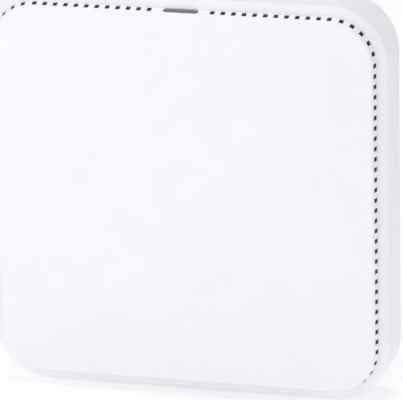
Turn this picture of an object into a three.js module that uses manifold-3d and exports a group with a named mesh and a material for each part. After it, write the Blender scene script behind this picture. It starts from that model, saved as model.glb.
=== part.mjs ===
// A square ceiling access point on its mounting bracket, in millimetres, +Z up.
// It hangs face forward: the face looks along -Y and the light bar is at the top.
// The origin is on the bracket's rear face, in the plane of the wall or ceiling.
// Everything is modelled with x right, y up and z out of the wall, and turned once at the end.
import * as THREE from "three";
import { mergeVertices } from "three/addons/utils/BufferGeometryUtils.js";
import Module from "manifold-3d";

const wasm = await Module();
wasm.setup();

// Casing
const CASE_SIDE = 200; // width and height over the bezel
const CASE_CORNER = 27; // outer corner radius
const CASE_FRONT = 31.2; // wall plane to the front face
const WALL_GAP = 1.2; // wall plane to the casing's rear edge
const WALL = 2; // side wall and rear base
const WALL_FLARE = 1; // the side wall leans out by this towards the back
const BACK_CHAMFER = 0.8;
const BASE_LIP = 6; // height of the rear base's rim
const PLATE_STEP = 6.7; // front face to the bezel's outer edge
const BEZEL_RISE = 1.9; // the bezel climbs this much towards the plate
const BEZEL_THICK = 1.2; // bezel's edge to the ledge inside
const EDGE_ROUND = 0.5;
const LEDGE_WIDTH = 16; // the cover's inner flange, inside its wall
const LEDGE = 1.6; // its thickness
const EDGE_STEPS = 3; // facets in a small rounded edge
const CROWN = 0.25; // how far the bezel bulges
const CROWN_STEPS = 4; // facets across the bezel

// Front plate and its vents
const PLATE_INSET = 5.2; // vent line behind the casing's side
const PLATE_SKIN = 1.6;
const PLATE_SKIRT = 1.6;
const PLATE_ROUND = 1.3;
const SKIRT_DRAFT = 0.3; // run per rise of the skirt
const VENT_DROP = 3.1; // front face to the vents' middle
const VENT_PITCH = 5.2;
const VENT_LENGTH = 2.2;
const VENT_HEIGHT = 2.8;
const CORNER_VENTS = 5;
const LIGHT_BAR_PITCHES = 2.5; // half the run of vents that the light bar replaces
const LIGHT_BAR_LENGTH = 17;
const LIGHT_BAR_HEIGHT = 3;
const GAUZE = 0.6;

// Fits
const FIT = 0.3; // between pieces that seat in or against each other
const SEAT = 0.05; // solder or paste under a part
const REACH = 1; // how far a cutter runs past what it cuts
const CORNER_STEPS = 8; // facets in a quarter circle of the casing
const SMALL_CORNER_STEPS = 4; // facets in a quarter circle of a small plate
const ROUND_STEPS = 16; // facets round a small post, screw or can

// Bracket, and the slots that hang on its hooks
const BRACKET_HALF = 60;
const BRACKET_TOP = 60;
const BRACKET_BOTTOM = -72;
const BRACKET_SHEET = 2;
const BRACKET_CORNER = 8;
const HANG_GAP = 0.6; // bracket to pocket floor
const POCKET_MARGIN = 1.5;
const HOOK_WIDTH = 8;
const HOOK_THICK = 2;
const HOOK_LIP = 6;
const HOOK_CLEAR = 1.4; // pocket floor to lip
const LIFT = 7; // upward travel that frees the hooks
const HOOK_X = 52;
const HOOK_UPPER = 38;
const HOOK_LOWER = -38;
const CABLE_WINDOW_HALF = 24;
const CABLE_WINDOW_HEIGHT = 14;
const CABLE_WINDOW_EDGE = 3; // metal left under the window
const SCREW_SLOT_WIDTH = 4;
const SCREW_SLOT_LENGTH = 12;
const SCREW_SLOT_X = 35;
const SCREW_SLOT_Y = 42;
const CEILING_HOLE = 2; // radius
const CEILING_HOLE_Y = 22;

// Port bay
const BAY_HALF = 32;
const BAY_TOP = -52;
const BAY_HEIGHT = 38;
const BAY_MARGIN = 1.2; // bay floor past the board's rear face
const BAY_WALL = 1.6;
const NOTCH_HALF = 7;
const NOTCH_DEPTH = 8;

// Main board and chassis plate
const BOARD_HALF = 76;
const BOARD_TOP = 76;
const BOARD_BOTTOM = -47;
const BOARD_THICK = 1.6;
const BOARD_CORNER = 4;
const CHIP_HEIGHT = 1;
const PAD_HEIGHT = 0.5;
const CHASSIS_THICK = 1.5;
const POST_RADIUS = 3.6;
const POST_X = 69;
const POST_UPPER = 68;
const POST_LOWER = -39;
const BOARD_SCREW = 1.5; // shank radius
const BOARD_SCREW_HEAD = 2.8;
const BOARD_SCREW_LENGTH = 9;
const SCREW_HEAD_HEIGHT = 1.8;
const SOCKET_RADIUS = 1.1; // hexagon drive
const SOCKET_DEPTH = 1;

// Casing screws
const CASE_SCREW_INSET = 17; // from the casing's side, in x and y
const CASE_SCREW = 1.5;
const CASE_SCREW_HEAD = 2.9;
const CASE_BOSS = 4.6;
const BEZEL_BOSS_DEPTH = 6;
const THREAD_DEPTH = 4.5;

// Sockets, jack and reset button
const PORT_WIDTH = 16;
const PORT_HEIGHT = 13;
const PORT_LENGTH = 18;
const PORT_MOUTH_WIDTH = 12;
const PORT_MOUTH_HEIGHT = 8;
const PORT_MOUTH_DEPTH = 14;
const PORT_LATCH_WIDTH = 4.4;
const PORT_LATCH_HEIGHT = 2;
const POE_X = -20;
const LAN_X = -1;
const PORT_PROUD = 0.5; // out of the bay wall
const PORT_CLEAR = 0.35; // pocket wall to the sockets
const JACK_X = 15.5;
const JACK_WIDTH = 9;
const JACK_HEIGHT = 11;
const JACK_LENGTH = 14;
const JACK_BORE = 3.2;
const JACK_PIN = 1;
const JACK_DEPTH = 9.5;
const RESET_X = 26.5;
const RESET_RADIUS = 1.6;
const RESET_FLANGE = 2.6;
const RESET_FLANGE_THICK = 1;
const RESET_TRAVEL = 0.6;
const RESET_SUNK = 0.6; // behind the bay wall's face
const SWITCH_SIDE = 6;
const SWITCH_LENGTH = 4;

// Antennas and their leads
const ANTENNA_X = 54;
const ANTENNA_UPPER = 50;
const ANTENNA_LOWER = -20;
const ANTENNA_WIDTH = 26;
const ANTENNA_DEEP = 14;
const ANTENNA_SHEET = 0.5;
const ANTENNA_GAP = 0.8; // under the front plate
const LEAD_RADIUS = 0.65;
const LEAD_SIDES = 6;
const LEAD_STEPS = 12;
const LEAD_HOLE = 3;
const LEAD_X = 16;

// Cooling slots in the back
const REAR_VENTS = 9;
const REAR_VENT_PITCH = 7;
const REAR_VENT_WIDTH = 2;
const REAR_VENT_LENGTH = 16;
const REAR_VENT_X = 79;

// Light board, capacitors and label
const LED_BOARD_HALF = 20;
const LED_BOARD_HEIGHT = 5;
const LED_BOARD_THICK = 1;
const LED_PITCH = 6;
const LED_WIDTH = 3;
const LED_HEIGHT = 2;
const CAPACITOR_RADIUS = 4;
const CAPACITOR_HEIGHT = 10;
const LABEL_WIDTH = 40;
const LABEL_HEIGHT = 22;
const LABEL_THICK = 0.3;
const LABEL_Y = 80;

// Finishes, each as [colour, roughness, metalness]
const WHITE_PLASTIC = [0xf1f2f4, 0.5, 0];
const BASE_PLASTIC = [0xe6e7ea, 0.55, 0];
const LIGHT_PLASTIC = [0x85868b, 0.3, 0];
const DARK_GAUZE = [0x26272a, 0.8, 0];
const STEEL = [0xb9bcc0, 0.35, 0.9];
const SCREW_STEEL = [0x8e9195, 0.35, 0.9];
const ALUMINIUM = [0xc3c5c8, 0.45, 0.9];
const BOARD_GREEN = [0x1f5a3a, 0.5, 0];
const CHIP_BLACK = [0x1c1d1f, 0.6, 0];
const PAD_GREY = [0x8d97a3, 0.9, 0];
const BRASS = [0xc9a659, 0.35, 0.9];
const BLACK_PLASTIC = [0x1b1b1d, 0.5, 0];
const LEAD_GREY = [0x3a3b3e, 0.6, 0];
const LED_WHITE = [0xf4f1d8, 0.3, 0];
const LABEL_SILVER = [0xd9dadb, 0.5, 0];

// Chips on the board's front, each as [name, x, y, width, height].
const CHIPS = [
  ["processor", 0, 16, 21, 21],
  ["radio_chip_1", -40, 16, 13, 13],
  ["radio_chip_2", 40, 16, 13, 13],
  ["memory_chip_1", -20, 16, 9, 13],
  ["memory_chip_2", 20, 16, 9, 13],
];
const PADDED = 3; // the first three have a thermal pad to the chassis plate

// Parts on the board's rear, each as [name, x, y, width, height, how far it stands off].
const REAR_PARTS = [
  ["network_transformer_1", POE_X, -23, 15, 15, 6, BLACK_PLASTIC],
  ["network_transformer_2", LAN_X, -23, 15, 15, 6, BLACK_PLASTIC],
  ["poe_transformer", 22, -20, 17, 14, 10, BLACK_PLASTIC],
  ["inductor", 22, 0, 10, 10, 5, CHIP_BLACK],
  ["shield_can_1", -34, 24, 34, 28, 3, STEEL],
  ["shield_can_2", 30, 28, 34, 28, 3, STEEL],
];
const CAPACITORS = [
  [41, -13],
  [41, -24],
];

// Values that follow from the sizes above
const HALF = CASE_SIDE / 2;
const VENT_HALF = HALF - PLATE_INSET;
const VENT_CORNER = CASE_CORNER - PLATE_INSET;
const VENT_Z = CASE_FRONT - VENT_DROP;
const STRAIGHT = VENT_HALF - VENT_CORNER;
const BEZEL_EDGE = CASE_FRONT - PLATE_STEP;
const BEZEL_TOP = BEZEL_EDGE + BEZEL_RISE;
const SKIRT_OUT = SKIRT_DRAFT * (VENT_Z - BEZEL_TOP);
const SKIRT_TOP = -SKIRT_DRAFT * VENT_DROP;
const PLATE_UNDER = CASE_FRONT - PLATE_SKIN;
const LEDGE_TOP = BEZEL_EDGE - BEZEL_THICK + FIT;
const LEDGE_UNDER = LEDGE_TOP - LEDGE;
const SKIRT_FOOT = LEDGE_TOP + FIT;
const BASE_FLOOR = WALL_GAP + WALL;
const POCKET_FLOOR = BRACKET_SHEET + HANG_GAP;
const POCKET_INNER = POCKET_FLOOR + WALL;
const BOARD_BACK = POCKET_INNER + PORT_CLEAR + PORT_HEIGHT + SEAT;
const BOARD_FRONT = BOARD_BACK + BOARD_THICK;
const CHASSIS_BACK = BOARD_FRONT + SEAT + CHIP_HEIGHT + SEAT + PAD_HEIGHT + SEAT;
const CHASSIS_FRONT = CHASSIS_BACK + CHASSIS_THICK;
const BAY_BOTTOM = BAY_TOP - BAY_HEIGHT;
const BAY_FLOOR = BOARD_BACK + BAY_MARGIN;
const PORT_FACE = BAY_TOP - PORT_PROUD;
const PORT_BACK = BOARD_BACK - SEAT - PORT_HEIGHT;
const CASE_SCREW_AT = HALF - CASE_SCREW_INSET;
const RESET_Z = BOARD_BACK - SEAT - SWITCH_SIDE / 2;

// --- Geometry helpers ---

// A closed three.js geometry as a manifold solid.
function solid(geometry) {
  const bare = geometry.clone();
  bare.deleteAttribute("normal");
  bare.deleteAttribute("uv");
  const merged = mergeVertices(bare);
  return new wasm.Manifold(
    new wasm.Mesh({
      numProp: 3,
      vertProperties: merged.attributes.position.array,
      triVerts: new Uint32Array(merged.index.array),
    }),
  );
}

// A manifold solid as a three.js geometry.
function geometryOf(body) {
  const mesh = body.getMesh();
  const geometry = new THREE.BufferGeometry();
  geometry.setAttribute("position", new THREE.BufferAttribute(mesh.vertProperties, 3));
  geometry.setIndex(new THREE.BufferAttribute(mesh.triVerts, 1));
  geometry.computeVertexNormals();
  return geometry;
}

const join = (first, ...rest) => rest.reduce((sum, body) => sum.add(body), first);
const cut = (first, ...rest) => rest.reduce((left, body) => left.subtract(body), first);

// A block between two corners.
function block(x0, x1, y0, y1, z0, z1) {
  const geometry = new THREE.BoxGeometry(x1 - x0, y1 - y0, z1 - z0);
  geometry.translate((x0 + x1) / 2, (y0 + y1) / 2, (z0 + z1) / 2);
  return solid(geometry);
}

// A block given by its middle in x and y.
const blockAt = (x, y, width, height, z0, z1) =>
  block(x - width / 2, x + width / 2, y - height / 2, y + height / 2, z0, z1);

// A round bar out of the wall, from z0 to z1.
function bar(x, y, radius, z0, z1, sides = ROUND_STEPS) {
  const geometry = new THREE.CylinderGeometry(radius, radius, z1 - z0, sides);
  geometry.rotateX(Math.PI / 2);
  geometry.translate(x, y, (z0 + z1) / 2);
  return solid(geometry);
}

// A round bar standing up, from y0 to y1.
function upright(x, z, radius, y0, y1, sides = ROUND_STEPS) {
  const geometry = new THREE.CylinderGeometry(radius, radius, y1 - y0, sides);
  geometry.translate(x, (y0 + y1) / 2, z);
  return solid(geometry);
}

// A rectangle with round corners, as a shape in x and y.
function roundedRectangle(x0, x1, y0, y1, radius) {
  const shape = new THREE.Shape();
  shape.absarc(x1 - radius, y1 - radius, radius, 0, Math.PI / 2);
  shape.absarc(x0 + radius, y1 - radius, radius, Math.PI / 2, Math.PI);
  shape.absarc(x0 + radius, y0 + radius, radius, Math.PI, 1.5 * Math.PI);
  shape.absarc(x1 - radius, y0 + radius, radius, 1.5 * Math.PI, 2 * Math.PI);
  return shape;
}

// A shape in x and y, made thick from z0 to z1.
function slab(shape, z0, z1, curveSegments = SMALL_CORNER_STEPS) {
  const options = { depth: z1 - z0, bevelEnabled: false, curveSegments };
  const geometry = new THREE.ExtrudeGeometry(shape, options);
  geometry.translate(0, 0, z0);
  return solid(geometry);
}

// The casing's outline, `out` outside the vent line, anticlockwise from the front.
function outline(out) {
  const points = [];
  for (let corner = 0; corner < 4; corner += 1) {
    for (let step = 0; step <= CORNER_STEPS; step += 1) {
      const turn = ((corner + step / CORNER_STEPS) * Math.PI) / 2;
      const middle = ((corner + 0.5) * Math.PI) / 2;
      const radius = VENT_CORNER + out;
      points.push([
        STRAIGHT * Math.sign(Math.cos(middle)) + radius * Math.cos(turn),
        STRAIGHT * Math.sign(Math.sin(middle)) + radius * Math.sin(turn),
      ]);
    }
  }
  return points;
}

// A profile of [out, z] points carried round the casing's outline.
// A ring closes on itself. Otherwise the first point ends a rear face, the last a front face.
function sweep(profile, ring) {
  const rows = profile.map(([out, z]) => outline(out).map(([x, y]) => [x, y, z]));
  const around = rows[0].length;
  const vertices = rows.flat(2);
  const faces = [];
  const last = ring ? rows.length : rows.length - 1;
  for (let row = 0; row < last; row += 1) {
    const next = (row + 1) % rows.length;
    for (let i = 0; i < around; i += 1) {
      const j = (i + 1) % around;
      const [a, b] = [row * around + i, row * around + j];
      const [c, d] = [next * around + i, next * around + j];
      faces.push(a, b, c, b, d, c);
    }
  }
  if (!ring) {
    const rear = vertices.length / 3;
    vertices.push(0, 0, profile[0][1], 0, 0, profile.at(-1)[1]);
    for (let i = 0; i < around; i += 1) {
      const j = (i + 1) % around;
      faces.push(rear, j, i);
      faces.push(rear + 1, (rows.length - 1) * around + i, (rows.length - 1) * around + j);
    }
  }
  const geometry = new THREE.BufferGeometry();
  geometry.setAttribute("position", new THREE.Float32BufferAttribute(vertices, 3));
  geometry.setIndex(faces);
  return solid(geometry);
}

// Points of a convex quarter round from one [out, z] point to another.
function quarter([out0, z0], [out1, z1], steps) {
  const points = [];
  for (let step = 1; step < steps; step += 1) {
    const turn = (step / steps) * (Math.PI / 2);
    points.push([out1 + (out0 - out1) * Math.cos(turn), z0 + (z1 - z0) * Math.sin(turn)]);
  }
  return points;
}

// Points between two [out, z] points on a line that bulges forward by `rise`.
function bulge([out0, z0], [out1, z1], rise, steps) {
  const points = [];
  for (let step = 1; step < steps; step += 1) {
    const share = step / steps;
    const forward = rise * Math.sin(share * Math.PI);
    points.push([out0 + (out1 - out0) * share, z0 + (z1 - z0) * share + forward]);
  }
  return points;
}

// --- Pieces ---

const model = new THREE.Group();
model.rotation.x = Math.PI / 2;

function place(name, body, [colour, roughness, metalness]) {
  const material = new THREE.MeshStandardMaterial({ color: colour, roughness, metalness });
  const mesh = new THREE.Mesh(geometryOf(body), material);
  mesh.name = name;
  model.add(mesh);
}

// Middles of the vents, each as [x, y, turn of its outward direction].
function ventPlaces() {
  const places = [];
  const run = Math.floor(STRAIGHT / VENT_PITCH);
  for (let side = 0; side < 4; side += 1) {
    const turn = (side * Math.PI) / 2;
    for (let step = -run; step <= run; step += 1) {
      const behindLight = side === 1 && Math.abs(step) < LIGHT_BAR_PITCHES;
      if (!behindLight) {
        const along = step * VENT_PITCH;
        const x = VENT_HALF * Math.cos(turn) - along * Math.sin(turn);
        const y = VENT_HALF * Math.sin(turn) + along * Math.cos(turn);
        places.push([x, y, turn]);
      }
    }
    for (let step = 1; step <= CORNER_VENTS; step += 1) {
      const bend = turn + (step / (CORNER_VENTS + 1)) * (Math.PI / 2);
      const middle = turn + Math.PI / 4;
      const x = STRAIGHT * Math.sign(Math.cos(middle)) + VENT_CORNER * Math.cos(bend);
      const y = STRAIGHT * Math.sign(Math.sin(middle)) + VENT_CORNER * Math.sin(bend);
      places.push([x, y, bend]);
    }
  }
  return places;
}

function ventCutter([x, y, turn]) {
  const depth = 2 * (PLATE_SKIRT + REACH);
  const geometry = new THREE.BoxGeometry(depth, VENT_LENGTH, VENT_HEIGHT);
  geometry.rotateZ(turn);
  geometry.translate(x, y, VENT_Z);
  return solid(geometry);
}

// A bar with round ends along x, from y0 to y1, `grow` larger than the light bar all round.
function lightBar(grow, y0, y1) {
  const radius = LIGHT_BAR_HEIGHT / 2 + grow;
  const half = LIGHT_BAR_LENGTH / 2 + grow;
  const shape = roundedRectangle(-half, half, -radius, radius, radius);
  const options = { depth: y1 - y0, bevelEnabled: false, curveSegments: CORNER_STEPS };
  const geometry = new THREE.ExtrudeGeometry(shape, options);
  geometry.rotateX(Math.PI / 2);
  geometry.translate(0, y1, VENT_Z);
  return solid(geometry);
}

// The plate's outer skin from the skirt's foot to the front face.
function plateSkin() {
  const edge = [SKIRT_TOP + SKIRT_DRAFT * PLATE_ROUND, CASE_FRONT - PLATE_ROUND];
  const face = [SKIRT_TOP - PLATE_ROUND, CASE_FRONT];
  return [
    [SKIRT_OUT, SKIRT_FOOT],
    [SKIRT_OUT, BEZEL_TOP],
    edge,
    ...quarter(edge, face, EDGE_STEPS),
    face,
  ];
}

function frontPlate() {
  const skin = plateSkin();
  const body = sweep(
    [
      [SKIRT_TOP - PLATE_SKIRT, PLATE_UNDER],
      [SKIRT_OUT - PLATE_SKIRT, BEZEL_TOP],
      [SKIRT_OUT - PLATE_SKIRT, SKIRT_FOOT],
      ...skin,
    ],
    false,
  );
  const vents = ventPlaces().map(ventCutter);
  const window = lightBar(FIT, VENT_HALF - PLATE_SKIRT - REACH, VENT_HALF + REACH);
  return cut(body, join(...vents), window);
}

function lightBarLens() {
  const behind = VENT_HALF - PLATE_SKIRT - FIT;
  const pipe = lightBar(0, behind - LIGHT_BAR_HEIGHT, VENT_HALF + REACH);
  return pipe.intersect(sweep(plateSkin(), false));
}

function ventGauze() {
  const outer = SKIRT_TOP - PLATE_SKIRT - FIT;
  const [foot, top] = [SKIRT_FOOT, PLATE_UNDER - FIT];
  const ring = sweep(
    [
      [outer - GAUZE, foot],
      [outer, foot],
      [outer, top],
      [outer - GAUZE, top],
    ],
    true,
  );
  const half = LIGHT_BAR_LENGTH / 2 + REACH;
  const lightGap = block(-half, half, 0, HALF, foot - REACH, top + REACH);
  return cut(ring, lightGap, bayClearance());
}

// The space that the port bay's walls need, from the wall to just past the bay's floor.
function bayClearance() {
  const half = BAY_HALF + BAY_WALL + FIT;
  const foot = BAY_BOTTOM - BAY_WALL - FIT;
  return block(-half, half, foot, BAY_TOP, 0, BAY_FLOOR + BAY_WALL + FIT);
}

// How far out of the vent line the side wall's inner face is at z.
function wallInside(z) {
  const share = (BEZEL_EDGE - z) / (BEZEL_EDGE - WALL_GAP);
  return PLATE_INSET - WALL + WALL_FLARE * share;
}

// The cover's ring: the bezel, the side wall down to the rear rim, and the ledge inside.
function frontCover() {
  const inner = SKIRT_OUT + FIT;
  const edge = PLATE_INSET - EDGE_ROUND;
  const crown = [inner + EDGE_ROUND, BEZEL_TOP];
  const ledgeInside = PLATE_INSET - WALL - LEDGE_WIDTH;
  const rim = PLATE_INSET + WALL_FLARE;
  const ring = sweep(
    [
      [ledgeInside, LEDGE_UNDER],
      [wallInside(LEDGE_UNDER), LEDGE_UNDER],
      [wallInside(WALL_GAP), WALL_GAP],
      [rim - BACK_CHAMFER, WALL_GAP],
      [rim, WALL_GAP + BACK_CHAMFER],
      [PLATE_INSET, BEZEL_EDGE - EDGE_ROUND],
      [edge, BEZEL_EDGE],
      ...bulge([edge, BEZEL_EDGE], crown, CROWN, CROWN_STEPS),
      crown,
      [inner, BEZEL_TOP - EDGE_ROUND],
      [inner, LEDGE_TOP],
      [ledgeInside, LEDGE_TOP],
    ],
    true,
  );
  const bossTop = LEDGE_UNDER + SEAT;
  const bossFoot = LEDGE_UNDER - BEZEL_BOSS_DEPTH;
  const bosses = casePlaces().map(([x, y]) => bar(x, y, CASE_BOSS, bossFoot, bossTop));
  const holes = casePlaces().map(([x, y]) =>
    bar(x, y, CASE_SCREW + FIT, bossFoot - REACH, bossFoot + THREAD_DEPTH + FIT),
  );
  return cut(join(ring, ...bosses), ...holes, bayClearance(), cableNotch());
}

// The notch in the lower side wall that lets a cable out along the wall.
const cableNotch = () =>
  block(-NOTCH_HALF, NOTCH_HALF, -CASE_SIDE, BAY_BOTTOM + REACH, -REACH, WALL_GAP + NOTCH_DEPTH);

// The four places at plus and minus x, at an upper and a lower y.
function corners(x, upper, lower) {
  return [
    [-x, upper],
    [x, upper],
    [-x, lower],
    [x, lower],
  ];
}

const casePlaces = () => corners(CASE_SCREW_AT, CASE_SCREW_AT, -CASE_SCREW_AT);
const postPlaces = () => corners(POST_X, POST_UPPER, POST_LOWER);
const hookPlaces = () => corners(HOOK_X, HOOK_UPPER, HOOK_LOWER);

// A slot in the pocket floor that drops over a hook and rides up by LIFT.
function hookSlot([x, y]) {
  const top = y + HOOK_THICK + FIT;
  const height = HOOK_THICK + HOOK_LIP + LIFT / 2;
  const half = HOOK_WIDTH / 2 + 2 * FIT;
  return block(x - half, x + half, top - height, top, WALL_GAP - REACH, POCKET_INNER + REACH);
}

function rearBase() {
  const tray = sweep(
    [
      [wallInside(WALL_GAP) - FIT, WALL_GAP],
      [wallInside(WALL_GAP + BASE_LIP) - FIT, WALL_GAP + BASE_LIP],
      [wallInside(WALL_GAP + BASE_LIP) - FIT - WALL, WALL_GAP + BASE_LIP],
      [wallInside(WALL_GAP) - FIT - WALL, BASE_FLOOR],
    ],
    false,
  );
  const pocketHalf = BRACKET_HALF + POCKET_MARGIN;
  const pocketTop = BRACKET_TOP + POCKET_MARGIN;
  const pocketBottom = BRACKET_BOTTOM - POCKET_MARGIN - LIFT;
  const pocket = (grow) =>
    roundedRectangle(
      -pocketHalf - grow,
      pocketHalf + grow,
      pocketBottom - grow,
      pocketTop + grow,
      BRACKET_CORNER + grow,
    );
  const pocketPad = slab(pocket(WALL), WALL_GAP + SEAT, POCKET_INNER);
  const bayBlock = block(
    -BAY_HALF - BAY_WALL,
    BAY_HALF + BAY_WALL,
    BAY_BOTTOM - BAY_WALL,
    BAY_TOP + BAY_WALL,
    WALL_GAP + SEAT,
    BAY_FLOOR + BAY_WALL,
  );
  const baseBossTop = LEDGE_UNDER - BEZEL_BOSS_DEPTH - FIT;
  const caseBosses = casePlaces().map(([x, y]) =>
    bar(x, y, CASE_BOSS, WALL_GAP + SEAT, baseBossTop),
  );
  const posts = postPlaces().map(([x, y]) =>
    bar(x, y, POST_RADIUS, WALL_GAP + SEAT, BOARD_BACK - SEAT),
  );
  const body = join(tray, pocketPad, bayBlock, ...caseBosses, ...posts);
  const headSeat = WALL_GAP + SCREW_HEAD_HEIGHT + FIT;
  const caseHoles = casePlaces().flatMap(([x, y]) => [
    bar(x, y, CASE_SCREW_HEAD + FIT, WALL_GAP - REACH, headSeat),
    bar(x, y, CASE_SCREW + FIT, WALL_GAP, baseBossTop + REACH),
  ]);
  const postHoles = postPlaces().map(([x, y]) =>
    bar(x, y, BOARD_SCREW + FIT, CHASSIS_FRONT - BOARD_SCREW_LENGTH - FIT, BOARD_BACK + REACH),
  );
  return cut(
    body,
    slab(pocket(0), WALL_GAP - REACH, POCKET_FLOOR),
    block(-BAY_HALF, BAY_HALF, BAY_BOTTOM, BAY_TOP, WALL_GAP - REACH, BAY_FLOOR),
    cableNotch(),
    ...bayWindows(),
    ...hookPlaces().map(hookSlot),
    ...rearVents(),
    ...caseHoles,
    ...postHoles,
  );
}

// Windows in the bay's upper wall for the sockets, the jack and the reset button.
function bayWindows() {
  const window = (x, width, z0, z1) =>
    block(x - width / 2 - FIT, x + width / 2 + FIT, BAY_TOP - REACH, BAY_TOP + BAY_WALL + REACH, z0, z1);
  const top = BOARD_BACK - SEAT;
  return [
    window(POE_X, PORT_WIDTH, PORT_BACK - FIT, top + FIT),
    window(LAN_X, PORT_WIDTH, PORT_BACK - FIT, top + FIT),
    window(JACK_X, JACK_WIDTH, top - JACK_HEIGHT - FIT, top + FIT),
    upright(RESET_X, RESET_Z, RESET_RADIUS + FIT, BAY_TOP - REACH, BAY_TOP + BAY_WALL + REACH),
  ];
}

// Cooling slots through the back, in a column on each side of the bracket.
function rearVents() {
  const slots = [];
  for (const side of [-1, 1]) {
    for (let row = 0; row < REAR_VENTS; row += 1) {
      const y = (row - (REAR_VENTS - 1) / 2) * REAR_VENT_PITCH;
      const x = side * REAR_VENT_X;
      slots.push(
        blockAt(x, y, REAR_VENT_LENGTH, REAR_VENT_WIDTH, WALL_GAP - REACH, BASE_FLOOR + REACH),
      );
    }
  }
  return slots;
}

// A hook stands out of the bracket and turns up behind the pocket floor.
function hook([x, y]) {
  const half = HOOK_WIDTH / 2;
  const lip = POCKET_INNER + HOOK_CLEAR;
  const tip = lip + HOOK_THICK;
  return join(
    block(x - half, x + half, y, y + HOOK_THICK, BRACKET_SHEET - SEAT, tip),
    block(x - half, x + half, y, y + HOOK_THICK + HOOK_LIP, lip, tip),
  );
}

function mountingBracket() {
  const sheet = slab(
    roundedRectangle(-BRACKET_HALF, BRACKET_HALF, BRACKET_BOTTOM, BRACKET_TOP, BRACKET_CORNER),
    0,
    BRACKET_SHEET,
  );
  const windowBottom = BRACKET_BOTTOM + CABLE_WINDOW_EDGE;
  const window = slab(
    roundedRectangle(
      -CABLE_WINDOW_HALF,
      CABLE_WINDOW_HALF,
      windowBottom,
      windowBottom + CABLE_WINDOW_HEIGHT,
      CABLE_WINDOW_EDGE,
    ),
    -REACH,
    BRACKET_SHEET + REACH,
  );
  const slots = corners(SCREW_SLOT_X, SCREW_SLOT_Y, -SCREW_SLOT_Y).map(([x, y]) =>
    slab(
      roundedRectangle(
        x - SCREW_SLOT_LENGTH / 2,
        x + SCREW_SLOT_LENGTH / 2,
        y - SCREW_SLOT_WIDTH / 2,
        y + SCREW_SLOT_WIDTH / 2,
        SCREW_SLOT_WIDTH / 2 - SEAT,
      ),
      -REACH,
      BRACKET_SHEET + REACH,
    ),
  );
  const holes = [-CEILING_HOLE_Y, CEILING_HOLE_Y].map((y) =>
    bar(0, y, CEILING_HOLE, -REACH, BRACKET_SHEET + REACH),
  );
  return cut(join(sheet, ...hookPlaces().map(hook)), window, ...slots, ...holes);
}

// A screw with its head towards -z (turned = -1) or +z (turned = 1), its seat at z.
function screw(x, y, z, radius, headRadius, length, turned) {
  const span = (a, b) => [Math.min(a, b), Math.max(a, b)];
  const top = z + turned * SCREW_HEAD_HEIGHT;
  const shank = bar(x, y, radius, ...span(z - turned * length, z + turned * SEAT));
  const head = bar(x, y, headRadius, ...span(z, top));
  const drive = bar(
    x,
    y,
    SOCKET_RADIUS,
    ...span(top - turned * SOCKET_DEPTH, top + turned * REACH),
    6,
  );
  return cut(join(shank, head), drive);
}

function mainBoard() {
  const shape = roundedRectangle(-BOARD_HALF, BOARD_HALF, BOARD_BOTTOM, BOARD_TOP, BOARD_CORNER);
  const holes = postPlaces().map(([x, y]) =>
    bar(x, y, BOARD_SCREW + FIT, BOARD_BACK - REACH, BOARD_FRONT + REACH),
  );
  return cut(slab(shape, BOARD_BACK, BOARD_FRONT), ...holes);
}

function chassisPlate() {
  const shape = roundedRectangle(-BOARD_HALF, BOARD_HALF, BOARD_BOTTOM, BOARD_TOP, BOARD_CORNER);
  const feet = postPlaces().map(([x, y]) =>
    bar(x, y, POST_RADIUS, BOARD_FRONT + SEAT, CHASSIS_BACK + SEAT),
  );
  const holes = postPlaces().map(([x, y]) =>
    bar(x, y, BOARD_SCREW + FIT, BOARD_FRONT, CHASSIS_FRONT + REACH),
  );
  const leadHoles = corners(LEAD_X, ANTENNA_UPPER, ANTENNA_LOWER).map(([x, y]) =>
    bar(x, y, LEAD_HOLE, BOARD_FRONT, CHASSIS_FRONT + REACH),
  );
  return cut(join(slab(shape, CHASSIS_BACK, CHASSIS_FRONT), ...feet), ...holes, ...leadHoles);
}

// A network socket with its mouth down into the bay and the latch groove towards the back.
function networkSocket(x) {
  const front = BOARD_BACK - SEAT;
  const body = block(
    x - PORT_WIDTH / 2,
    x + PORT_WIDTH / 2,
    PORT_FACE,
    PORT_FACE + PORT_LENGTH,
    PORT_BACK,
    front,
  );
  const mouthTop = front - (PORT_HEIGHT - PORT_MOUTH_HEIGHT) / 2;
  const mouth = block(
    x - PORT_MOUTH_WIDTH / 2,
    x + PORT_MOUTH_WIDTH / 2,
    PORT_FACE - REACH,
    PORT_FACE + PORT_MOUTH_DEPTH,
    mouthTop - PORT_MOUTH_HEIGHT,
    mouthTop,
  );
  const latch = block(
    x - PORT_LATCH_WIDTH / 2,
    x + PORT_LATCH_WIDTH / 2,
    PORT_FACE - REACH,
    PORT_FACE + PORT_MOUTH_DEPTH,
    mouthTop - PORT_MOUTH_HEIGHT - PORT_LATCH_HEIGHT,
    mouthTop,
  );
  return cut(body, mouth, latch);
}

function powerJack() {
  const front = BOARD_BACK - SEAT;
  const middle = front - JACK_HEIGHT / 2;
  const body = block(
    JACK_X - JACK_WIDTH / 2,
    JACK_X + JACK_WIDTH / 2,
    PORT_FACE,
    PORT_FACE + JACK_LENGTH,
    front - JACK_HEIGHT,
    front,
  );
  const bore = upright(JACK_X, middle, JACK_BORE, PORT_FACE - REACH, PORT_FACE + JACK_DEPTH);
  const pin = upright(JACK_X, middle, JACK_PIN, PORT_FACE + REACH, PORT_FACE + JACK_DEPTH + SEAT);
  return join(cut(body, bore), pin);
}

// The reset button is a plunger in the bay wall, kept in by a flange behind it.
function resetButton() {
  const face = BAY_TOP + RESET_SUNK;
  const flange = BAY_TOP + BAY_WALL + SEAT;
  return join(
    upright(RESET_X, RESET_Z, RESET_RADIUS, face, flange + SEAT),
    upright(RESET_X, RESET_Z, RESET_FLANGE, flange, flange + RESET_FLANGE_THICK),
  );
}

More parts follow.
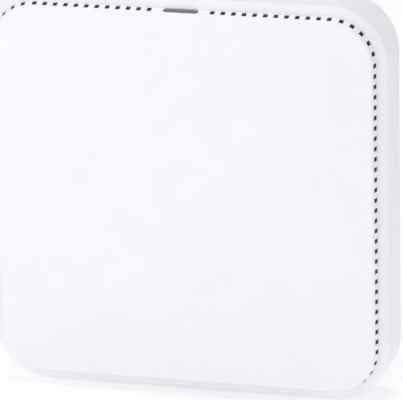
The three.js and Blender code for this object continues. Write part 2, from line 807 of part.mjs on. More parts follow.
function resetSwitch() {
  const stem = BAY_TOP + BAY_WALL + SEAT + RESET_FLANGE_THICK + RESET_TRAVEL + FIT;
  return blockAt(
    RESET_X,
    stem + SWITCH_LENGTH / 2,
    SWITCH_SIDE,
    SWITCH_LENGTH,
    RESET_Z - SWITCH_SIDE / 2,
    RESET_Z + SWITCH_SIDE / 2,
  );
}

// A stamped antenna: a foot, an upright and a top sheet over the chassis plate.
function antenna([x, y]) {
  const z0 = CHASSIS_FRONT + SEAT;
  const z1 = PLATE_UNDER - ANTENNA_GAP;
  const left = x - ANTENNA_WIDTH / 2;
  const right = x + ANTENNA_WIDTH / 2;
  const low = y - ANTENNA_DEEP / 2;
  const high = y + ANTENNA_DEEP / 2;
  const foot = low + ANTENNA_DEEP / 2;
  return join(
    block(left, right, low, high, z1 - ANTENNA_SHEET, z1),
    block(left, right, low, low + ANTENNA_SHEET, z0, z1),
    block(left, right, low, foot, z0, z0 + ANTENNA_SHEET),
  );
}

// A thin coaxial lead from an antenna's foot, over the chassis plate and down to the board.
function antennaLead([x, y]) {
  const side = Math.sign(x);
  const over = CHASSIS_FRONT + ANTENNA_SHEET + LEAD_RADIUS + FIT;
  const start = x - side * (ANTENNA_WIDTH / 2 + FIT);
  const route = new THREE.CatmullRomCurve3(
    [
      new THREE.Vector3(start, y, over),
      new THREE.Vector3(start - side * LEAD_HOLE, y, over),
      new THREE.Vector3(side * (LEAD_X + LEAD_HOLE), y, over),
      new THREE.Vector3(side * LEAD_X, y, CHASSIS_FRONT - CHASSIS_THICK / 2),
      new THREE.Vector3(side * LEAD_X, y, BOARD_FRONT + FIT),
    ],
    false,
    "centripetal",
  );
  const section = new THREE.Shape();
  for (let i = 0; i < LEAD_SIDES; i += 1) {
    const turn = (i / LEAD_SIDES) * 2 * Math.PI;
    const point = [LEAD_RADIUS * Math.cos(turn), LEAD_RADIUS * Math.sin(turn)];
    if (i === 0) section.moveTo(...point);
    else section.lineTo(...point);
  }
  section.closePath();
  const options = { steps: LEAD_STEPS, bevelEnabled: false, extrudePath: route };
  return solid(new THREE.ExtrudeGeometry(section, options));
}

function placeCasing() {
  place("front_plate", frontPlate(), WHITE_PLASTIC);
  place("front_cover", frontCover(), WHITE_PLASTIC);
  place("rear_base", rearBase(), BASE_PLASTIC);
  place("light_bar_lens", lightBarLens(), LIGHT_PLASTIC);
  place("vent_gauze", ventGauze(), DARK_GAUZE);
  const seat = WALL_GAP + SCREW_HEAD_HEIGHT + FIT - SEAT;
  const tip = LEDGE_UNDER - BEZEL_BOSS_DEPTH + THREAD_DEPTH;
  casePlaces().forEach(([x, y], i) => {
    const body = screw(x, y, seat, CASE_SCREW, CASE_SCREW_HEAD, tip - seat, -1);
    place(`case_screw_${i + 1}`, body, SCREW_STEEL);
  });
  const label = blockAt(
    0,
    LABEL_Y,
    LABEL_WIDTH,
    LABEL_HEIGHT,
    WALL_GAP - SEAT - LABEL_THICK,
    WALL_GAP - SEAT,
  );
  place("blank_label", label, LABEL_SILVER);
}

function placeLights() {
  const lensBack = VENT_HALF - PLATE_SKIRT - FIT - LIGHT_BAR_HEIGHT;
  const ledFace = lensBack - FIT;
  const boardFace = ledFace - LED_BOARD_THICK / 2;
  const z0 = VENT_Z - LED_BOARD_HEIGHT / 2;
  const board = block(
    -LED_BOARD_HALF,
    LED_BOARD_HALF,
    boardFace - SEAT - LED_BOARD_THICK,
    boardFace - SEAT,
    z0 - LED_BOARD_THICK,
    z0 + LED_BOARD_HEIGHT - LED_BOARD_THICK,
  );
  place("led_board", board, BOARD_GREEN);
  [-1, 0, 1].forEach((step, i) => {
    const x = step * LED_PITCH;
    const body = block(
      x - LED_WIDTH / 2,
      x + LED_WIDTH / 2,
      boardFace,
      ledFace,
      VENT_Z - LED_HEIGHT / 2,
      VENT_Z + LED_HEIGHT / 2,
    );
    place(`led_${i + 1}`, body, LED_WHITE);
  });
}

function placeBoard() {
  place("main_board", mainBoard(), BOARD_GREEN);
  place("chassis_plate", chassisPlate(), ALUMINIUM);
  CHIPS.forEach(([name, x, y, width, height], i) => {
    const z = BOARD_FRONT + SEAT;
    place(name, blockAt(x, y, width, height, z, z + CHIP_HEIGHT), CHIP_BLACK);
    if (i < PADDED) {
      const pad = z + CHIP_HEIGHT + SEAT;
      place(`thermal_pad_${i + 1}`, blockAt(x, y, width, height, pad, pad + PAD_HEIGHT), PAD_GREY);
    }
  });
  REAR_PARTS.forEach(([name, x, y, width, height, stand, finish]) => {
    const z = BOARD_BACK - SEAT;
    place(name, blockAt(x, y, width, height, z - stand, z), finish);
  });
  CAPACITORS.forEach(([x, y], i) => {
    const z = BOARD_BACK - SEAT;
    const can = bar(x, y, CAPACITOR_RADIUS, z - CAPACITOR_HEIGHT, z);
    place(`capacitor_${i + 1}`, can, ALUMINIUM);
  });
  postPlaces().forEach(([x, y], i) => {
    const seat = CHASSIS_FRONT + SEAT;
    const length = BOARD_SCREW_LENGTH - FIT;
    const body = screw(x, y, seat, BOARD_SCREW, BOARD_SCREW_HEAD, length, 1);
    place(`board_screw_${i + 1}`, body, SCREW_STEEL);
  });
}

function placePorts() {
  place("poe_port", networkSocket(POE_X), STEEL);
  place("lan_port", networkSocket(LAN_X), STEEL);
  place("power_jack", powerJack(), BLACK_PLASTIC);
  place("reset_button", resetButton(), BLACK_PLASTIC);
  place("reset_switch", resetSwitch(), BLACK_PLASTIC);
}

function placeAntennas() {
  corners(ANTENNA_X, ANTENNA_UPPER, ANTENNA_LOWER).forEach((at, i) => {
    place(`antenna_${i + 1}`, antenna(at), BRASS);
    place(`antenna_lead_${i + 1}`, antennaLead(at), LEAD_GREY);
  });
}

placeCasing();
placeLights();
placeBoard();
placePorts();
placeAntennas();
place("mounting_bracket", mountingBracket(), STEEL);

export default model;
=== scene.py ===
import math

import bmesh
import bpy
from mathutils import Matrix, Vector


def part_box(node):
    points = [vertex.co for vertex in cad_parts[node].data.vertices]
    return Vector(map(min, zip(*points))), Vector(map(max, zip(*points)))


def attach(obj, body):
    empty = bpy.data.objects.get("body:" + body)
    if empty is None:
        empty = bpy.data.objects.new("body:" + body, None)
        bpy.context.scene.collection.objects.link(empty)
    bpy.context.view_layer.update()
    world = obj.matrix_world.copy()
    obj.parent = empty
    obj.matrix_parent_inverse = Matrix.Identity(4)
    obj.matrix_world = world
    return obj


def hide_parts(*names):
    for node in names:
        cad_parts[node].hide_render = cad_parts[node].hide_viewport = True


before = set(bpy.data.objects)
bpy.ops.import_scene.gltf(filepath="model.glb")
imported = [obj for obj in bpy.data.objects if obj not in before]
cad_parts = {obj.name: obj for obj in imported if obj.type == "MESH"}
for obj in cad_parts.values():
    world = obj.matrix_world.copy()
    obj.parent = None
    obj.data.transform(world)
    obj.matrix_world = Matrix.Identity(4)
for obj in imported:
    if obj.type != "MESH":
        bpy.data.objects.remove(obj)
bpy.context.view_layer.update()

MM = 0.001


def span(node):
    """A CAD node's box in millimetres, as low and high corners in x right, y up, z out."""
    low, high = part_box(node)
    return Vector((low.x, low.z, -high.y)) / MM, Vector((high.x, high.z, -low.y)) / MM


PLATE_LOW, PLATE_HIGH = span("front_plate")
COVER_LOW, COVER_HIGH = span("front_cover")
LENS_LOW, LENS_HIGH = span("light_bar_lens")

# Casing, as the frame has it
FRONT = PLATE_HIGH.z
SKIRT_FOOT = PLATE_LOW.z
BEZEL_TOP = COVER_HIGH.z
WALL_FLARE = 1.0  # the side wall leans out by this towards the back
WALL = 2.0
CASE_HALF = COVER_HIGH.x - WALL_FLARE
CASE_CORNER = 27.0
REAR = COVER_LOW.z
REAR_ROUND = 0.8
PLATE_STEP = 6.7  # front face to the bezel's outer edge
BEZEL_EDGE = FRONT - PLATE_STEP
EDGE_ROUND = 0.5
LIP_ROUND = 0.08
LEDGE = 1.6
LEDGE_WIDTH = 16.0
FIT = 0.3
SEAM = 0.03  # between the skirt and the bezel's lip
CROWN = 0.25  # how far the bezel bulges forward
LEDGE_TOP = SKIRT_FOOT - FIT
LEDGE_UNDER = LEDGE_TOP - LEDGE

# Front plate, its vents and the light bar
PLATE_SKIN = 1.6
PAD_SUNK = 0.2  # the gauze in a vent lies this far under the skirt's face
PAD_CLEAR = 0.03
GAUZE = 0.6
WEAVE = 0.35
SKIRT = 1.6
PLATE_ROUND = 1.3
SKIRT_DRAFT = 0.3  # run per rise of the skirt
VENT_DROP = 3.1  # front face to the vents' middle
VENT_Z = FRONT - VENT_DROP
VENT_PITCH = 5.2
VENT_LENGTH = 2.2
VENT_HEIGHT = 2.8
CORNER_VENTS = 5
LIGHT_BAR_PITCHES = 2.5  # half the run of vents that the light bar replaces
LIGHT_BAR_FIT = 0.21
SKIRT_OUT = SKIRT_DRAFT * (VENT_Z - BEZEL_TOP)
VENT_HALF = PLATE_HIGH.x - SKIRT_OUT
PLATE_INSET = CASE_HALF - VENT_HALF
VENT_CORNER = CASE_CORNER - PLATE_INSET
STRAIGHT = VENT_HALF - VENT_CORNER
SIDE_RUN = 2 * STRAIGHT
CORNER_RUN = VENT_CORNER * math.pi / 2
CORNER_STEPS = 30
ROUND_STEPS = 8
SMALL_ROUND_STEPS = 5

# Cable notch in the lower side wall
NOTCH_HALF = 7.0
NOTCH_DEPTH = 8.0
NOTCH_ROUND = 2.5

# Sockets
SOCKET_MARGIN = 2.5  # wall between a socket's front face and its mouth
CONTACTS = 8
CONTACT = 0.4
CONTACT_PITCH = 1.02
CONTACT_ROOT = 2.5  # where a wire leaves the wall, from the socket's face
CONTACT_BEND = 3.5
CONTACT_TIP = 11.0
CONTACT_REACH = 3.0

# Camera
CAMERA_AZIMUTH = 14.73
CAMERA_ELEVATION = 19.41
CAMERA_ROLL = -1.22
CAMERA_DISTANCE = 2.199
CAMERA_LENS = 404.0
SENSOR = 36.0
AIM = Vector((0.0062, -0.020, -0.0034))

# Light and floor, in metres
SWEEP_RADIUS = 5.0
SWEEP_BEND = 1.0
SWEEP_HEIGHT = 1.8
SWEEP_SIDES = 96
FLOOR_GAP = 0.0003
FLOOR_RADII = (0.3, 1.0)
# The floor glows less round the casing's foot, which is a painted contact shadow: the dimming is
# deepest within GLOW_NEAR metres and gone beyond GLOW_FAR.
PAINTED_SHADOW_GLOW = 0.24
FAR_GLOW = 0.35
GLOW_NEAR = 0.10
GLOW_FAR = 0.20
WORLD_STRENGTH = 0.36


# --- Meshes ---


def quarter(start, end, steps):
    """Points of a convex quarter round from one (out, z) point to another, ends left out."""
    points = []
    for step in range(1, steps):
        turn = step / steps * math.pi / 2
        out = end[0] + (start[0] - end[0]) * math.cos(turn)
        points.append((out, start[1] + (end[1] - start[1]) * math.sin(turn)))
    return points


def bulged(start, end, rise, steps):
    """Points between two (out, z) points on a line that bulges forward by `rise`."""
    points = []
    for step in range(1, steps):
        share = step / steps
        forward = rise * math.sin(math.pi * share)
        out = start[0] + (end[0] - start[0]) * share
        points.append((out, start[1] + (end[1] - start[1]) * share + forward))
    return points


def lap_place(run):
    """Foot and outward direction at a distance along the vent line, anticlockwise."""
    side, rest = divmod(run, SIDE_RUN + CORNER_RUN)
    turn = side * math.pi / 2
    bend = turn + max(0.0, rest - SIDE_RUN) / VENT_CORNER
    along = min(rest, SIDE_RUN) - STRAIGHT
    foot_x = STRAIGHT * math.cos(turn) - along * math.sin(turn)
    foot_y = STRAIGHT * math.sin(turn) + along * math.cos(turn)
    return foot_x, foot_y, math.cos(bend), math.sin(bend)


def corner_runs():
    """Distances along the vent line at which the round corners are divided."""
    runs = []
    for side in range(4):
        start = side * (SIDE_RUN + CORNER_RUN)
        runs.append(start)
        for step in range(CORNER_STEPS + 1):
            runs.append(start + SIDE_RUN + CORNER_RUN * step / CORNER_STEPS)
    return runs[:-1]


def vent_runs():
    """Distances along the vent line of the vents' middles."""
    runs = []
    count = math.floor(STRAIGHT / VENT_PITCH)
    for side in range(4):
        start = side * (SIDE_RUN + CORNER_RUN)
        for step in range(-count, count + 1):
            if side != 1 or abs(step) > LIGHT_BAR_PITCHES:
                runs.append(start + STRAIGHT + step * VENT_PITCH)
        for step in range(1, CORNER_VENTS + 1):
            runs.append(start + SIDE_RUN + CORNER_RUN * step / (CORNER_VENTS + 1))
    return runs


def ring(bm, out, z, runs):
    """One loop of vertices round the casing, `out` outside the vent line."""
    loop = []
    for run in runs:
        foot_x, foot_y, out_x, out_y = lap_place(run)
        reach = VENT_CORNER + out
        loop.append(bm.verts.new((foot_x + reach * out_x, foot_y + reach * out_y, z)))
    return loop


def bridge(bm, first, second, skipped=()):
    """Faces between two loops of the same length, but none where `skipped` says."""
    count = len(first)
    for i in range(count):
        if i not in skipped:
            j = (i + 1) % count
            bm.faces.new((first[i], first[j], second[j], second[i]))


def swept_ring(profile):
    """A closed profile of (out, z) points carried round the casing."""
    bm = bmesh.new()
    loops = [ring(bm, out, z, corner_runs()) for out, z in profile]
    for i, loop in enumerate(loops):
        bridge(bm, loop, loops[(i + 1) % len(loops)])
    return bm


def rounded_rectangle(x0, x1, y0, y1, radius, steps=ROUND_STEPS):
    """Points of a rectangle with round corners, anticlockwise."""
    points = []
    middles = [(x1 - radius, y1 - radius), (x0 + radius, y1 - radius)]
    middles += [(x0 + radius, y0 + radius), (x1 - radius, y0 + radius)]
    for corner, (x, y) in enumerate(middles):
        for step in range(steps + 1):
            turn = (corner + step / steps) * math.pi / 2
            points.append((x + radius * math.cos(turn), y + radius * math.sin(turn)))
    return points


def add_prism(bm, points, z0, z1):
    """A solid with a flat outline in x and y, from z0 to z1."""
    low = [bm.verts.new((x, y, z0)) for x, y in points]
    high = [bm.verts.new((x, y, z1)) for x, y in points]
    bridge(bm, low, high)
    bm.faces.new(low)
    bm.faces.new(high)


def turn_upright(bm):
    """Turns a shape so that what ran along z runs along y."""
    bm.transform(Matrix.Rotation(-math.pi / 2, 4, "X"))


def make_object(name, bm):
    """An object in the row frame from a shape in face millimetres."""
    bmesh.ops.remove_doubles(bm, verts=bm.verts, dist=0.0005)
    bmesh.ops.recalc_face_normals(bm, faces=bm.faces)
    bm.transform(Matrix.Rotation(math.pi / 2, 4, "X") @ Matrix.Scale(MM, 4))
    mesh = bpy.data.meshes.new(name)
    bm.to_mesh(mesh)
    bm.free()
    mesh.shade_smooth()
    made = bpy.data.objects.new(name, mesh)
    bpy.context.scene.collection.objects.link(made)
    return made


def apply_modifiers(made):
    """The object's mesh as its modifiers leave it."""
    shown = made.evaluated_get(bpy.context.evaluated_depsgraph_get())
    mesh = bpy.data.meshes.new_from_object(shown)
    made.modifiers.clear()
    made.data = mesh
    return made


def cut_out(made, cutter):
    """Takes the cutter's shape out of the object."""
    modifier = made.modifiers.new("cut", "BOOLEAN")
    modifier.operation = "DIFFERENCE"
    modifier.solver = "EXACT"
    modifier.object = cutter
    apply_modifiers(made)
    bpy.data.objects.remove(cutter)
    return made


def soften(made, width, segments=2, angle=40.0):
    """Small rounds on the sharp edges, in millimetres, with flat faces kept flat."""
    bevel = made.modifiers.new("edge rounds", "BEVEL")
    bevel.width = width * MM
    bevel.segments = segments
    bevel.limit_method = "ANGLE"
    bevel.angle_limit = math.radians(angle)
    bevel.use_clamp_overlap = True
    normals = made.modifiers.new("face normals", "WEIGHTED_NORMAL")
    normals.keep_sharp = True
    return apply_modifiers(made)


def sharpen(made, angle=35.0):
    """Smooth shading, but not over edges steeper than the angle."""
    made.data.set_sharp_from_angle(angle=math.radians(angle))
    return made


def finish_piece(made, material, nodes, body="unit"):
    """Dresses a piece and puts it on its body in place of CAD nodes."""
    made.data.materials.clear()
    made.data.materials.append(material)
    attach(made, body)
    if nodes:
        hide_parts(*nodes)
    return made


def copy_of(node, name):
    """A new object with a clean copy of a CAD node's mesh, its flat faces made whole."""
    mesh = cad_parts[node].data.copy()
    bm = bmesh.new()
    bm.from_mesh(mesh)
    bmesh.ops.remove_doubles(bm, verts=bm.verts, dist=0.002 * MM)
    bmesh.ops.dissolve_limit(bm, angle_limit=math.radians(0.5), verts=bm.verts, edges=bm.edges)
    bm.to_mesh(mesh)
    bm.free()
    mesh.shade_smooth()
    made = bpy.data.objects.new(name, mesh)
    bpy.context.scene.collection.objects.link(made)
    return made


# --- Materials ---


class Recipe:
    """A material being built, with its Principled shader and object coordinates."""

    def __init__(self, name):
        self.material = bpy.data.materials.new(name)
        self.material.use_nodes = True
        self.nodes = self.material.node_tree.nodes
        self.links = self.material.node_tree.links
        self.shader = next(n for n in self.nodes if n.type == "BSDF_PRINCIPLED")
        self.place = self.nodes.new("ShaderNodeTexCoord").outputs["Object"]

    def stretched(self, x, y, z):
        """Object coordinates scaled along each axis."""
        mapping = self.nodes.new("ShaderNodeMapping")
        mapping.inputs["Scale"].default_value = (x, y, z)
        self.links.new(self.place, mapping.inputs["Vector"])
        return mapping.outputs["Vector"]

    def noise(self, size, detail=2.0, vector=None):
        """A noise whose lumps are about `size` millimetres across."""
        node = self.nodes.new("ShaderNodeTexNoise")
        node.inputs["Scale"].default_value = 1 / (size * MM)
        node.inputs["Detail"].default_value = detail
        self.links.new(vector or self.place, node.inputs["Vector"])
        return node.outputs["Fac"]

    def waves(self, size, axis):
        """Rounded stripes `size` millimetres apart, counted along the axis."""
        node = self.nodes.new("ShaderNodeTexWave")
        node.bands_direction = axis
        one_stripe = math.pi / 10  # a Wave texture's stripe at a scale of 1
        node.inputs["Scale"].default_value = one_stripe / (size * MM)
        self.links.new(self.place, node.inputs["Vector"])
        return node.outputs["Fac"]

    def combine(self, operation, first, second):
        """Two values put together by a Math node's operation."""
        node = self.nodes.new("ShaderNodeMath")
        node.operation = operation
        self.links.new(first, node.inputs[0])
        self.links.new(second, node.inputs[1])
        return node.outputs["Value"]

    def spread(self, value, low, high):
        """The value's middle range mapped to low and high."""
        node = self.nodes.new("ShaderNodeMapRange")
        node.inputs["From Min"].default_value = 0.3
        node.inputs["From Max"].default_value = 0.7
        node.inputs["To Min"].default_value = low
        node.inputs["To Max"].default_value = high
        self.links.new(value, node.inputs["Value"])
        return node.outputs["Result"]

    def colour(self, value, low, high):
        """The shader's colour, from low to high as the value goes."""
        node = self.nodes.new("ShaderNodeMix")
        node.data_type = "RGBA"
        self.links.new(self.spread(value, 0.0, 1.0), node.inputs["Factor"])
        ends = [socket for socket in node.inputs if socket.type == "RGBA"]
        for socket, colour in zip(ends, (low, high)):
            socket.default_value = (*colour, 1)
        mixed = next(socket for socket in node.outputs if socket.type == "RGBA")
        self.links.new(mixed, self.shader.inputs["Base Color"])

    def roughness(self, value, low, high):
        """The shader's roughness, from low to high as the value goes."""
        self.links.new(self.spread(value, low, high), self.shader.inputs["Roughness"])

    def bump(self, height, depth, strength=0.5):
        """Relief `depth` millimetres deep, over any that was there before."""
        node = self.nodes.new("ShaderNodeBump")
        node.inputs["Strength"].default_value = strength
        node.inputs["Distance"].default_value = depth * MM
        self.links.new(height, node.inputs["Height"])
        normal = self.shader.inputs["Normal"]
        if normal.is_linked:
            self.links.new(normal.links[0].from_socket, node.inputs["Normal"])
        self.links.new(node.outputs["Normal"], normal)


def shade(colour, factor):
    """The colour, darker by the factor."""
    return tuple(part * factor for part in colour)


def moulded(name, colour, gloss, grain, depth, mottle=0.985):
    """Moulded plastic: a faint mottle in colour and gloss over a fine eroded grain."""
    recipe = Recipe(name)
    broad = recipe.noise(18.0, 3.0)
    fine = recipe.noise(grain, 4.0)
    recipe.colour(broad, shade(colour, mottle), colour)
    recipe.roughness(recipe.noise(grain * 3, 3.0), gloss - 0.05, gloss + 0.05)
    recipe.bump(fine, depth)
    recipe.bump(recipe.noise(9.0, 1.0), depth * 2, 0.15)
    recipe.shader.inputs["IOR"].default_value = 1.5
    return recipe.material


def metal(name, colour, gloss, along=(1.0, 1.0, 1.0), depth=0.01):
    """Sheet metal with a rolled or brushed grain and slightly uneven gloss."""
    recipe = Recipe(name)
    grain = recipe.noise(0.5, 4.0, recipe.stretched(*along))
    recipe.colour(recipe.noise(6.0, 3.0), shade(colour, 0.9), colour)
    recipe.roughness(grain, gloss - 0.07, gloss + 0.07)
    recipe.bump(grain, depth)
    recipe.shader.inputs["Metallic"].default_value = 1.0
    return recipe.material


def zinc(name):
    """Zinc-plated steel: small crystals that differ in tone and gloss."""
    recipe = Recipe(name)
    crystals = recipe.nodes.new("ShaderNodeTexVoronoi")
    crystals.inputs["Scale"].default_value = 1 / (1.4 * MM)
    recipe.links.new(recipe.place, crystals.inputs["Vector"])
    tone = recipe.nodes.new("ShaderNodeRGBToBW")
    recipe.links.new(crystals.outputs["Color"], tone.inputs["Color"])
    recipe.colour(tone.outputs["Val"], (0.63, 0.64, 0.655), (0.68, 0.69, 0.70))
    recipe.roughness(tone.outputs["Val"], 0.40, 0.46)
    recipe.bump(recipe.noise(0.6, 3.0), 0.01)
    recipe.shader.inputs["Metallic"].default_value = 1.0
    return recipe.material


def lens_plastic():
    """Grey translucent light pipe, glossy, with a little cloudiness."""
    recipe = Recipe("lens_plastic")
    recipe.colour(recipe.noise(2.5, 3.0), (0.105, 0.106, 0.117), (0.145, 0.147, 0.161))
    recipe.roughness(recipe.noise(1.2, 2.0), 0.22, 0.32)
    recipe.bump(recipe.noise(0.35, 2.0), 0.01)
    recipe.shader.inputs["IOR"].default_value = 1.49
    recipe.shader.inputs["Coat Weight"].default_value = 0.3
    recipe.shader.inputs["Coat Roughness"].default_value = 0.15
    return recipe.material


def gauze():
    """Fine woven black gauze: threads over and under at a third of a millimetre."""
    recipe = Recipe("gauze")
    upright = recipe.waves(WEAVE, "X")
    level = recipe.waves(WEAVE, "Z")
    deep = recipe.waves(WEAVE, "Y")
    weave = recipe.combine("MULTIPLY", recipe.combine("MAXIMUM", upright, deep), level)
    recipe.colour(weave, (0.010, 0.010, 0.012), (0.035, 0.036, 0.040))
    recipe.roughness(weave, 0.7, 0.9)
    recipe.bump(weave, 0.06)
    return recipe.material


def circuit_board():
    """Green solder mask with fine tracks standing up under it."""
    recipe = Recipe("circuit_board")
    tracks = recipe.combine("MULTIPLY", recipe.waves(1.2, "X"), recipe.noise(8.0, 1.0))
    recipe.colour(tracks, (0.012, 0.075, 0.035), (0.03, 0.16, 0.08))
    recipe.roughness(recipe.noise(1.0), 0.3, 0.42)
    recipe.bump(tracks, 0.03)
    return recipe.material


WHITE = (0.93, 0.936, 0.968)
BASE_WHITE = (0.80, 0.808, 0.84)

MATERIALS = {
    "white_plastic": moulded("white_plastic", WHITE, 0.42, 0.35, 0.012),
    "base_plastic": moulded("base_plastic", BASE_WHITE, 0.55, 0.6, 0.03),
    "lens_plastic": lens_plastic(),
    "gauze": gauze(),
    "zinc_steel": zinc("zinc_steel"),
    "can_steel": metal("can_steel", (0.74, 0.75, 0.76), 0.3, (1.0, 1.0, 0.1)),
    "screw_steel": metal("screw_steel", (0.55, 0.56, 0.58), 0.3),
    "aluminium": metal("aluminium", (0.78, 0.79, 0.8), 0.4, (0.1, 1.0, 1.0)),
    "board": circuit_board(),
    "chip": moulded("chip", (0.02, 0.02, 0.022), 0.5, 0.2, 0.01, 0.7),
    "thermal_pad": moulded("thermal_pad", (0.24, 0.29, 0.34), 0.85, 0.8, 0.05, 0.85),
    "brass": metal("brass", (0.74, 0.58, 0.3), 0.3, (0.1, 1.0, 1.0)),
    "black_plastic": moulded("black_plastic", (0.018, 0.018, 0.02), 0.42, 0.3, 0.02, 0.7),
    "lead_sheath": moulded("lead_sheath", (0.05, 0.05, 0.055), 0.4, 0.5, 0.02, 0.8),
    "led": moulded("led", (0.85, 0.82, 0.6), 0.25, 0.5, 0.01, 0.9),
    "label": moulded("label", (0.66, 0.665, 0.675), 0.38, 0.25, 0.006, 0.95),
}

# What each carried-over CAD node is made of, by the start of its name.
CARRIED = {
    "led_board": "board",
    "led_": "led",
    "main_board": "board",
    "processor": "chip",
    "radio_chip": "chip",
    "memory_chip": "chip",
    "thermal_pad": "thermal_pad",
    "chassis_plate": "aluminium",
    "antenna_lead": "lead_sheath",
    "antenna_": "brass",
    "shield_can": "can_steel",
    "network_transformer": "black_plastic",
    "poe_transformer": "black_plastic",
    "inductor": "chip",
    "capacitor": "aluminium",
    "reset_switch": "black_plastic",
    "board_screw": "screw_steel",
}


def dress_carried_nodes():
    """Gives each CAD node that stays its material: the longest matching name wins."""
    for name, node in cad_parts.items():
        starts = [start for start in CARRIED if name.startswith(start)]
        if starts:
            material = MATERIALS[CARRIED[max(starts, key=len)]]
            node.data.materials.clear()
            node.data.materials.append(material)


# --- Pieces ---


def skirt_out(z):
    """How far the plate's drafted skirt stands out of the vent line at z."""
    return SKIRT_DRAFT * (VENT_Z - z)


def vent_stations(length):
    """Distances along the vent line of a ring's columns, and the ones that start a vent."""
    ends = []
    for middle in vent_runs():
        ends.append((middle - length / 2, middle + length / 2))
    lap = 4 * (SIDE_RUN + CORNER_RUN)
    clear = 0.2
    runs = []
    for run in corner_runs():
        gaps = [abs((run - end + lap / 2) % lap - lap / 2) for pair in ends for end in pair]
        if min(gaps) >= clear:
            runs.append(run)
    runs += [end % lap for pair in ends for end in pair]
    runs.sort()
    vents = set()
    for i, run in enumerate(runs):
        if any((run - start + clear / 2) % lap < length - clear / 2 for start, _ in ends):
            vents.add(i)
    return runs, vents


def front_plate():
    """The plate: a shallow pan with a soft front edge and a row of open vents in its skirt."""
    runs, vents = vent_stations(VENT_LENGTH)
    vent_top = VENT_Z + VENT_HEIGHT / 2
    vent_foot = VENT_Z - VENT_HEIGHT / 2
    edge = (skirt_out(FRONT - PLATE_ROUND), FRONT - PLATE_ROUND)
    face = (skirt_out(FRONT) - PLATE_ROUND, FRONT)
    inside = [
        (skirt_out(FRONT) - SKIRT, FRONT - PLATE_SKIN),
        (skirt_out(vent_top) - SKIRT, vent_top),
        (skirt_out(vent_foot) - SKIRT, vent_foot),
        (SKIRT_OUT - SKIRT, BEZEL_TOP),
        (SKIRT_OUT - SKIRT, SKIRT_FOOT),
    ]
    outside = [(SKIRT_OUT, SKIRT_FOOT), (SKIRT_OUT, BEZEL_TOP)]
    outside += [(skirt_out(vent_foot), vent_foot), (skirt_out(vent_top), vent_top)]
    outside += [edge, *quarter(edge, face, ROUND_STEPS), face]
    bm = bmesh.new()
    loops = [ring(bm, out, z, runs) for out, z in inside + outside]
    in_top, in_foot = 1, 2
    out_foot, out_top = len(inside) + 2, len(inside) + 3
    for i in range(len(loops) - 1):
        vented = i in (in_top, out_foot)
        bridge(bm, loops[i], loops[i + 1], vents if vented else ())
    bm.faces.new(loops[0])
    bm.faces.new(loops[-1])
    count = len(runs)
    for i in vents:
        j = (i + 1) % count
        for inner, outer in ((in_top, out_top), (in_foot, out_foot)):
            bm.faces.new((loops[inner][i], loops[inner][j], loops[outer][j], loops[outer][i]))
        if (i - 1) % count not in vents:
            vent_end(bm, loops, i, in_top, in_foot, out_foot, out_top)
        if j not in vents:
            vent_end(bm, loops, j, in_top, in_foot, out_foot, out_top)
    made = soften(make_object("plate", bm), 0.15)
    cut_out(made, light_bar_window())
    sharpen(made)
    return finish_piece(made, MATERIALS["white_plastic"], ["front_plate"])


def vent_end(bm, loops, i, *rows):
    """The short wall at one end of a vent, through the skirt."""
    bm.faces.new([loops[row][i] for row in rows])


def gauze_screen():
    """The dust gauze: a band behind the skirt, pressed out into each vent."""
    runs, vents = vent_stations(VENT_LENGTH - 2 * PAD_CLEAR)
    low, high = span("vent_gauze")
    foot = VENT_Z - VENT_HEIGHT / 2 + PAD_CLEAR
    top = VENT_Z + VENT_HEIGHT / 2 - PAD_CLEAR
    outer = high.x - VENT_HALF
    inner = outer - GAUZE
    band = [(inner, high.z), (inner, low.z), (outer, low.z)]
    band += [(outer, foot), (outer, top), (outer, high.z)]
    pads = [(skirt_out(foot) - PAD_SUNK, foot), (skirt_out(top) - PAD_SUNK, top)]
    bm = bmesh.new()
    loops = [ring(bm, out, min(z, high.z), runs) for out, z in band]
    pad_foot, pad_top = (ring(bm, out, z, runs) for out, z in pads)
    band_foot, band_top = loops[3], loops[4]
    for i, loop in enumerate(loops):
        bridge(bm, loop, loops[(i + 1) % len(loops)], vents if i == 3 else ())
    count = len(runs)
    for i in vents:
        j = (i + 1) % count
        bm.faces.new((pad_foot[i], pad_foot[j], pad_top[j], pad_top[i]))
        bm.faces.new((band_foot[i], band_foot[j], pad_foot[j], pad_foot[i]))
        bm.faces.new((band_top[i], band_top[j], pad_top[j], pad_top[i]))
        for end, beyond in ((i, i - 1), (j, j)):
            if beyond % count not in vents:
                bm.faces.new((band_foot[end], band_top[end], pad_top[end], pad_foot[end]))
    loose = [v for v in bm.verts if not v.link_faces]
    bmesh.ops.delete(bm, geom=loose, context="VERTS")
    made = sharpen(make_object("gauze_screen", bm))
    cut_out(made, light_gap())
    return finish_piece(made, MATERIALS["gauze"], ["vent_gauze"])


def light_gap():
    """The cutter for the room that the light bar takes in the gauze."""
    half = (LENS_HIGH.x - LENS_LOW.x) / 2 + 1.0
    bm = bmesh.new()
    add_prism(bm, [(half, 0), (half, CASE_HALF), (-half, CASE_HALF), (-half, 0)], 0, FRONT)
    return make_object("light_gap", bm)


def stadium(grow):
    """The light bar's outline, `grow` larger all round, about its own middle."""
    half = (LENS_HIGH.x - LENS_LOW.x) / 2 + grow
    rise = (LENS_HIGH.z - LENS_LOW.z) / 2 + grow
    return rounded_rectangle(-half, half, -rise, rise, rise * 0.999, 12)


def light_bar_window():
    """The cutter for the light bar's window in the upper skirt."""
    bm = bmesh.new()
    reach = 4.0
    add_prism(bm, stadium(LIGHT_BAR_FIT), -reach, reach)
    turn_upright(bm)
    bm.transform(Matrix.Translation((0, VENT_HALF, VENT_Z)))
    return make_object("light_bar_cutter", bm)


